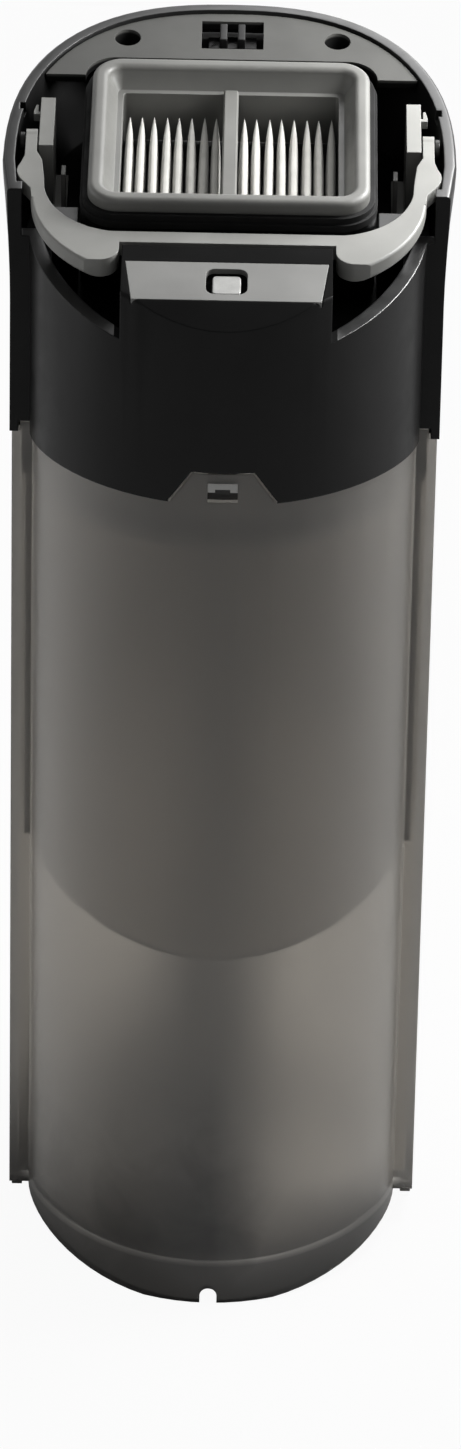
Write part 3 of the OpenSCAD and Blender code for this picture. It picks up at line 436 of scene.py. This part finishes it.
class TANK_OT_inner_parts(bpy.types.Operator):
    """Finish the parts that stand inside the tank."""

    bl_idname = "tank.inner_parts"
    bl_label = "Inner Parts"

    def execute(self, context):
        colours = context.scene.tank_finishes
        # Smoked ABS blend, only half clear
        dress("separator_sleeve", smoked_clear("smoked_abs", colours.sleeve, 0.35))
        # Polypropylene, dull and a little waxy
        inner = moulded("inner_polypropylene", colours.inner, rough=(0.45, 0.6))
        for node in ("riser_tube", "tank_lid", "float_cage"):
            dress(node, inner)
        # Foamed polypropylene, matt and cream white
        dress("float_ball", moulded("foamed_polypropylene", colours.float_white, rough=(0.6, 0.7), grain_mm=0.9))
        return {"FINISHED"}


class TANK_OT_seals(bpy.types.Operator):
    """Finish the rubber seals."""

    bl_idname = "tank.seals"
    bl_label = "Seals"

    def execute(self, context):
        material = rubber("moulded_epdm", context.scene.tank_finishes.rubber)
        for node in ("inlet_seal", "lid_gasket", "filter_gasket"):
            dress(node, material)
        return {"FINISHED"}


class TANK_OT_head_shell(bpy.types.Operator):
    """Finish the black shell of the head and its tray."""

    bl_idname = "tank.head_shell"
    bl_label = "Head Shell"

    def execute(self, context):
        colours = context.scene.tank_finishes
        # Black ABS, half gloss: a broad soft highlight down the round front
        dress("housing_shell", moulded("black_abs", colours.shell, rough=(0.3, 0.38), grain_mm=0.6, depth_mm=0.006,
                                       edge_mm=0.5, mirror=0.14, lands_mm=(0, 12.1)))
        # Black polypropylene, spark eroded mould: matt
        dress("tray", moulded("black_polypropylene", colours.tray, rough=(0.3, 0.4), mirror=0.06,
                              lands_mm=(5.8,)))
        return {"FINISHED"}


# The button's spring, in mm: its wire's radius, its turns, and its length free and pressed
SPRING_WIRE = 0.4
SPRING_TURNS = 4


def coil_spring(material):
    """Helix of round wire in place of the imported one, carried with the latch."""
    low, high = (Vector(corner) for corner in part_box("button_spring"))
    middle = (low + high) / 2
    wire = SPRING_WIRE * MM
    mean = (high.x - low.x) / 2 - wire
    run = high.y - low.y - 2 * wire
    steps, sides = 32 * SPRING_TURNS, 12
    points = []
    for i in range(steps + 1):
        turn = math.tau * SPRING_TURNS * i / steps
        for k in range(sides):
            lean = math.tau * k / sides
            out = mean + wire * math.cos(lean)
            points.append((
                middle.x + out * math.cos(turn),
                high.y - wire - run * i / steps + wire * math.sin(lean),
                middle.z + out * math.sin(turn),
            ))
    faces = [(i * sides + k, i * sides + (k + 1) % sides, (i + 1) * sides + (k + 1) % sides, (i + 1) * sides + k)
             for i in range(steps) for k in range(sides)]
    faces.append(tuple(range(sides - 1, -1, -1)))
    faces.append(tuple(steps * sides + k for k in range(sides)))
    mesh = bpy.data.meshes.new("coil_spring")
    mesh.from_pydata(points, [], faces)
    mesh.polygons.foreach_set("use_smooth", [len(f) == 4 for f in faces])
    mesh.update()
    piece = bpy.data.objects.new("coil_spring", mesh)
    piece.data.materials.append(material)
    bpy.context.scene.collection.objects.link(piece)
    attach(piece, "latch")
    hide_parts("button_spring")
    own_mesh(piece)
    return piece


class TANK_OT_deck(bpy.types.Operator):
    """Finish the grey deck behind the filter, the latch and the button."""

    bl_idname = "tank.deck"
    bl_label = "Deck and Latch"

    def execute(self, context):
        colours = context.scene.tank_finishes
        # Grey ABS, fine spark grain, with painted shade on its front edge and in its bores
        dress("deck_cover", moulded("deck_abs", colours.deck, rough=(0.32, 0.42), grain_mm=0.4, edge_mm=0.2,
                                    mirror=0.24, shadow_mm=(1.2, 1.9)))
        # Acetal, smooth and slippery black
        acetal = moulded("black_acetal", colours.tray, rough=(0.3, 0.4), mirror=0.4)
        dress("latch_hook", acetal, 0.25)
        dress("release_button", moulded("button_abs", colours.inner, rough=(0.35, 0.45)), 0.5)
        steel = metal("spring_steel", colours.steel)
        coil_spring(steel)
        dress("lid_screws", steel)
        return {"FINISHED"}


class TANK_OT_bail(bpy.types.Operator):
    """Finish the bail, its lugs and its pins."""

    bl_idname = "tank.bail"
    bl_label = "Bail"

    def execute(self, context):
        colours = context.scene.tank_finishes
        # Grey ABS, satin mould
        grey = moulded("bail_abs", colours.bail, rough=(0.3, 0.42), mirror=0.26)
        for node in ("bail_handle", "lug_left", "lug_right"):
            dress(node, grey, 0.35)
        pins = moulded("pin_acetal", colours.inner, rough=(0.3, 0.4))
        dress("bail_pin_left", pins)
        dress("bail_pin_right", pins)
        return {"FINISHED"}


class TANK_OT_plate(bpy.types.Operator):
    """Finish the silver plate on the head's front and its bright insert."""

    bl_idname = "tank.plate"
    bl_label = "Front Plate"

    def execute(self, context):
        colours = context.scene.tank_finishes
        # ABS sprayed silver: fine flakes under a thin lacquer
        dress("strike_plate", moulded("silver_lacquered_abs", colours.plate, rough=(0.34, 0.4), grain_mm=0.25,
                                        mirror=0.3, coat=0.1))
        # Stamped steel, brushed: mirrors the light softly
        dress("strike_insert", metal("brushed_steel", colours.insert, rough=(0.28, 0.36)), 0.3)
        return {"FINISHED"}


# The fleece in the tilted frame of the top, in mm: along the slope, depth under the top, and across
FLEECE_NEAR, FLEECE_FAR = -3.8, 42.3
FLEECE_HALF_W = 28.2
PLEAT_TIP = 40.2
PLEAT_PITCH = 3.2875
PLEAT_HALF_W = 1.5
BAR_HALF_W = 2.0
PLEATS = 8
SHEET_DEPTH = 15.4
FOOT_DEPTH = 15.95
PLEAT_RISE = 10.1


def from_top(across, along, depth):
    """A point of the tilted top's frame, in mm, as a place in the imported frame."""
    return Vector((
        across * MM,
        FRAME_Y + (along * math.cos(TILT) + depth * math.sin(TILT)) * MM,
        RIM_Z + (along * math.sin(TILT) - depth * math.cos(TILT)) * MM,
    ))


def pleat_height(across, along):
    """How far the fleece stands over its sheet: round ridges side by side, each running out in a point."""
    place = (abs(across) - BAR_HALF_W) / PLEAT_PITCH
    if not 0 < place < PLEATS or along > PLEAT_TIP:
        return 0.0
    index = int(place)
    centre = BAR_HALF_W + (index + 0.5) * PLEAT_PITCH
    run = (along - FLEECE_NEAR) / (PLEAT_TIP - FLEECE_NEAR)
    # No two folds were pressed quite alike
    lean = 0.12 * math.sin(2.3 * index + 1.1 * (across > 0) + 2.0 * run)
    half = PLEAT_HALF_W * (1 - run ** 8) ** 0.8 + 0.02
    off = min(1.0, abs(abs(across) - centre - lean) / half)
    return PLEAT_RISE * (1 - 0.06 * run) * (1 - off ** 4) ** 0.6


def pleated_fleece(material):
    """Closed sheet of fleece with sixteen pleats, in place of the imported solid."""
    columns, rows = 340, 64
    xs = [FLEECE_HALF_W * (2 * i / columns - 1) for i in range(columns + 1)]
    vs = [FLEECE_NEAR + (FLEECE_FAR - FLEECE_NEAR) * j / rows for j in range(rows + 1)]
    points = [from_top(x, v, SHEET_DEPTH - pleat_height(x, v)) for v in vs for x in xs]
    wide = columns + 1
    faces = [(j * wide + i, j * wide + i + 1, (j + 1) * wide + i + 1, (j + 1) * wide + i)
             for j in range(rows) for i in range(columns)]
    border = ([i for i in range(columns)] + [j * wide + columns for j in range(rows)]
              + [rows * wide + i for i in range(columns, 0, -1)] + [j * wide for j in range(rows, 0, -1)])
    first = len(points)
    for k in border:
        j, i = divmod(k, wide)
        points.append(from_top(xs[i], vs[j], FOOT_DEPTH))
    count = len(border)
    for k in range(count):
        after = (k + 1) % count
        faces.append((border[k], first + k, first + after, border[after]))
    faces.append(tuple(first + k for k in range(count - 1, -1, -1)))
    mesh = bpy.data.meshes.new("pleated_fleece")
    mesh.from_pydata(points, [], faces)
    mesh.polygons.foreach_set("use_smooth", [len(f) == 4 and max(f) < first for f in faces])
    mesh.update()
    piece = bpy.data.objects.new("pleated_fleece", mesh)
    piece.data.materials.append(material)
    bpy.context.scene.collection.objects.link(piece)
    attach(piece, "filter")
    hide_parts("filter_media")
    return piece


class TANK_OT_filter(bpy.types.Operator):
    """Finish the filter's frame and lay its pleated fleece."""

    bl_idname = "tank.filter"
    bl_label = "Filter"

    def execute(self, context):
        colours = context.scene.tank_finishes
        # Soft grey TPE over ABS: matt with a faint sheen
        dress("filter_frame", moulded("grey_tpe", colours.grey, rough=(0.42, 0.52), lands_mm=(0.3,)))
        # Needled polyester, white where it is clean, with painted shade in its folds
        pleated_fleece(fleece("polyester_fleece", colours.fleece, (8.5, 13.5)))
        return {"FINISHED"}


def area_lamp(name, place, target, size, power):
    """A soft box at place that faces target."""
    data = bpy.data.lights.new(name, "AREA")
    data.shape = "RECTANGLE"
    data.size, data.size_y = size
    data.energy = power
    lamp = bpy.data.objects.new(name, data)
    lamp.location = place
    lamp.visible_camera = False
    lamp.rotation_euler = (Vector(target) - Vector(place)).to_track_quat("-Z", "Y").to_euler()
    bpy.context.scene.collection.objects.link(lamp)
    return lamp


class TANK_OT_stage(bpy.types.Operator):
    """Make the floor, the lamps, the room's light and the camera."""

    bl_idname = "tank.stage"
    bl_label = "Stage"

    def execute(self, context):
        scene = context.scene
        studio = scene.tank_studio
        scene.view_settings.view_transform = "Standard"
        self.floor(studio)
        self.room(scene, studio)
        self.lamps()
        self.camera(scene, studio)
        return {"FINISHED"}

    def floor(self, studio):
        """Matt white paper, that a view through the tank's wall sees lit from behind."""
        material, tree = new_material("matt_paper")
        seen = add(tree, "ShaderNodeLightPath")
        fibres = spread(tree, grain(tree, 3, detail=4), 0, 1)
        paper = add(tree, "ShaderNodeBsdfDiffuse", {
            "Color": colour_of(shaded(tree, studio.floor, 0.99, 1.0, fibres)), "Roughness": 0.8,
        })
        glow = add(tree, "ShaderNodeEmission", {"Color": (1, 1, 1, 1), "Strength": 1.0})
        share = add(tree, "ShaderNodeMath", {
            0: seen.outputs["Is Camera Ray"], 1: seen.outputs["Is Transmission Ray"],
        }, operation="MAXIMUM")
        part = add(tree, "ShaderNodeMath", {0: share.outputs[0], 1: 0.94}, operation="MULTIPLY")
        mix = add(tree, "ShaderNodeMixShader", {0: part.outputs[0], 1: paper.outputs[0], 2: glow.outputs[0]})
        out = add(tree, "ShaderNodeOutputMaterial")
        tree.links.new(mix.outputs[0], out.inputs["Surface"])
        bpy.ops.mesh.primitive_plane_add(size=12, location=(0, 0, -0.0002))
        sheet = bpy.context.object
        sheet.name = "floor_paper"
        sheet.data.materials.append(material)

    def room(self, scene, studio):
        """White behind the tank and at the horizon, darker overhead and behind the camera."""
        world = bpy.data.worlds.new("room")
        world.use_nodes = True
        tree = world.node_tree
        tree.nodes.clear()
        seen = add(tree, "ShaderNodeLightPath")
        clear = add(tree, "ShaderNodeMath", {
            0: seen.outputs["Is Camera Ray"], 1: seen.outputs["Is Transmission Ray"],
        }, operation="MAXIMUM")
        place = add(tree, "ShaderNodeTexCoord")
        way = add(tree, "ShaderNodeSeparateXYZ", {"Vector": place.outputs["Generated"]})
        behind = add(tree, "ShaderNodeMapRange", {
            "Value": way.outputs["Y"], "From Min": -0.2, "From Max": 0.6, "To Min": 0.12, "To Max": 1.0,
        }, interpolation_type="SMOOTHSTEP")
        low = add(tree, "ShaderNodeMapRange", {
            "Value": way.outputs["Z"], "From Min": 0.1, "From Max": 0.9, "To Min": 1.0, "To Max": 0.25,
        }, interpolation_type="SMOOTHSTEP")
        shape = add(tree, "ShaderNodeMath", {0: behind.outputs["Result"], 1: low.outputs["Result"]},
                    operation="MULTIPLY")
        mirrored = add(tree, "ShaderNodeMath", {0: shape.outputs[0], 1: seen.outputs["Is Glossy Ray"]},
                       operation="MULTIPLY")
        even = add(tree, "ShaderNodeMath", {0: 1.0, 1: seen.outputs["Is Glossy Ray"]}, operation="SUBTRACT")
        raised = add(tree, "ShaderNodeMath", {0: way.outputs["Y"], 1: 0.6, 2: way.outputs["Z"]},
                     operation="MULTIPLY_ADD")
        above = add(tree, "ShaderNodeMapRange", {
            "Value": raised.outputs[0], "From Min": -0.4, "From Max": 0.5, "To Min": 0.3, "To Max": 1.15,
        }, interpolation_type="SMOOTHSTEP")
        wide = add(tree, "ShaderNodeMath", {0: even.outputs[0], 1: above.outputs["Result"]}, operation="MULTIPLY")
        soft = add(tree, "ShaderNodeMath", {0: wide.outputs[0], 1: studio.room_light}, operation="MULTIPLY")
        both = add(tree, "ShaderNodeMath", {0: mirrored.outputs[0], 1: soft.outputs[0]}, operation="ADD")
        level = add(tree, "ShaderNodeMath", {0: both.outputs[0], 1: clear.outputs[0]}, operation="MAXIMUM")
        light = add(tree, "ShaderNodeBackground", {"Color": (1, 1, 1, 1), "Strength": level.outputs[0]})
        out = add(tree, "ShaderNodeOutputWorld")
        tree.links.new(light.outputs[0], out.inputs["Surface"])
        scene.world = world

    def lamps(self):
        target = (0, 0, 0.2)
        # Tall soft box behind and above, to the right: the tilted top and every ledge mirror it
        area_lamp("back_box", (0.4, 0.85, 1.1), (0, 0, 0.3), (0.8, 1.0), 7.5)
        # Small and near on the right, so that its light falls off to the left
        area_lamp("right_key", (0.155, 0.02, 0.415), (0.03, 0, 0.3), (0.1, 0.1), 1.2)
        area_lamp("left_strip", (-1.0, 0.1, 0.35), target, (0.25, 0.9), 1.6)
        area_lamp("right_strip", (1.0, 0.1, 0.45), target, (0.25, 0.9), 1.6)

    def camera(self, scene, studio):
        data = bpy.data.cameras.new("photo_camera")
        data.sensor_fit = "AUTO"
        data.sensor_width = SENSOR
        data.lens = studio.lens
        camera = bpy.data.objects.new("photo_camera", data)
        scene.collection.objects.link(camera)
        scene.camera = camera
        e, a, r = studio.elevation, studio.azimuth, studio.roll
        ahead = Vector((-math.sin(a) * math.cos(e), math.cos(a) * math.cos(e), -math.sin(e)))
        across = Vector((math.cos(a), math.sin(a), 0))
        upward = across.cross(ahead)
        right = math.cos(r) * across + math.sin(r) * upward
        top = math.cos(r) * upward - math.sin(r) * across
        # The aim falls beside the middle of the picture
        focal_px = studio.lens / SENSOR * PHOTO_H
        side = (AIM_X - PHOTO_W / 2) / focal_px
        place = Vector(studio.aim) - studio.distance * (ahead + side * right)
        turn = Matrix((right, top, -ahead)).transposed().to_4x4()
        camera.matrix_world = Matrix.Translation(place) @ turn


class TANK_PT_panel(bpy.types.Panel):
    """Steps that finish the tank, and their settings."""

    bl_idname = "TANK_PT_panel"
    bl_label = "Dirty Water Tank"
    bl_space_type = "VIEW_3D"
    bl_region_type = "UI"
    bl_category = "Tank"

    def draw(self, context):
        for operator in OPERATORS:
            self.layout.operator(operator.bl_idname)
        for group in (context.scene.tank_finishes, context.scene.tank_studio):
            box = self.layout.box()
            for name in group.bl_rna.properties.keys():
                if name not in {"rna_type", "name"}:
                    box.prop(group, name)


OPERATORS = (
    TANK_OT_smoked_tank,
    TANK_OT_inner_parts,
    TANK_OT_seals,
    TANK_OT_head_shell,
    TANK_OT_deck,
    TANK_OT_bail,
    TANK_OT_plate,
    TANK_OT_filter,
    TANK_OT_stage,
)
CLASSES = (TankFinishes, TankStudio, *OPERATORS, TANK_PT_panel)


def register():
    for cls in CLASSES:
        bpy.utils.register_class(cls)
    bpy.types.Scene.tank_finishes = PointerProperty(type=TankFinishes)
    bpy.types.Scene.tank_studio = PointerProperty(type=TankStudio)


def unregister():
    del bpy.types.Scene.tank_studio
    del bpy.types.Scene.tank_finishes
    for cls in reversed(CLASSES):
        bpy.utils.unregister_class(cls)


def main():
    register()
    for operator in OPERATORS:
        area, name = operator.bl_idname.split(".")
        getattr(getattr(bpy.ops, area), name)()


if __name__ == "__main__":
    main()
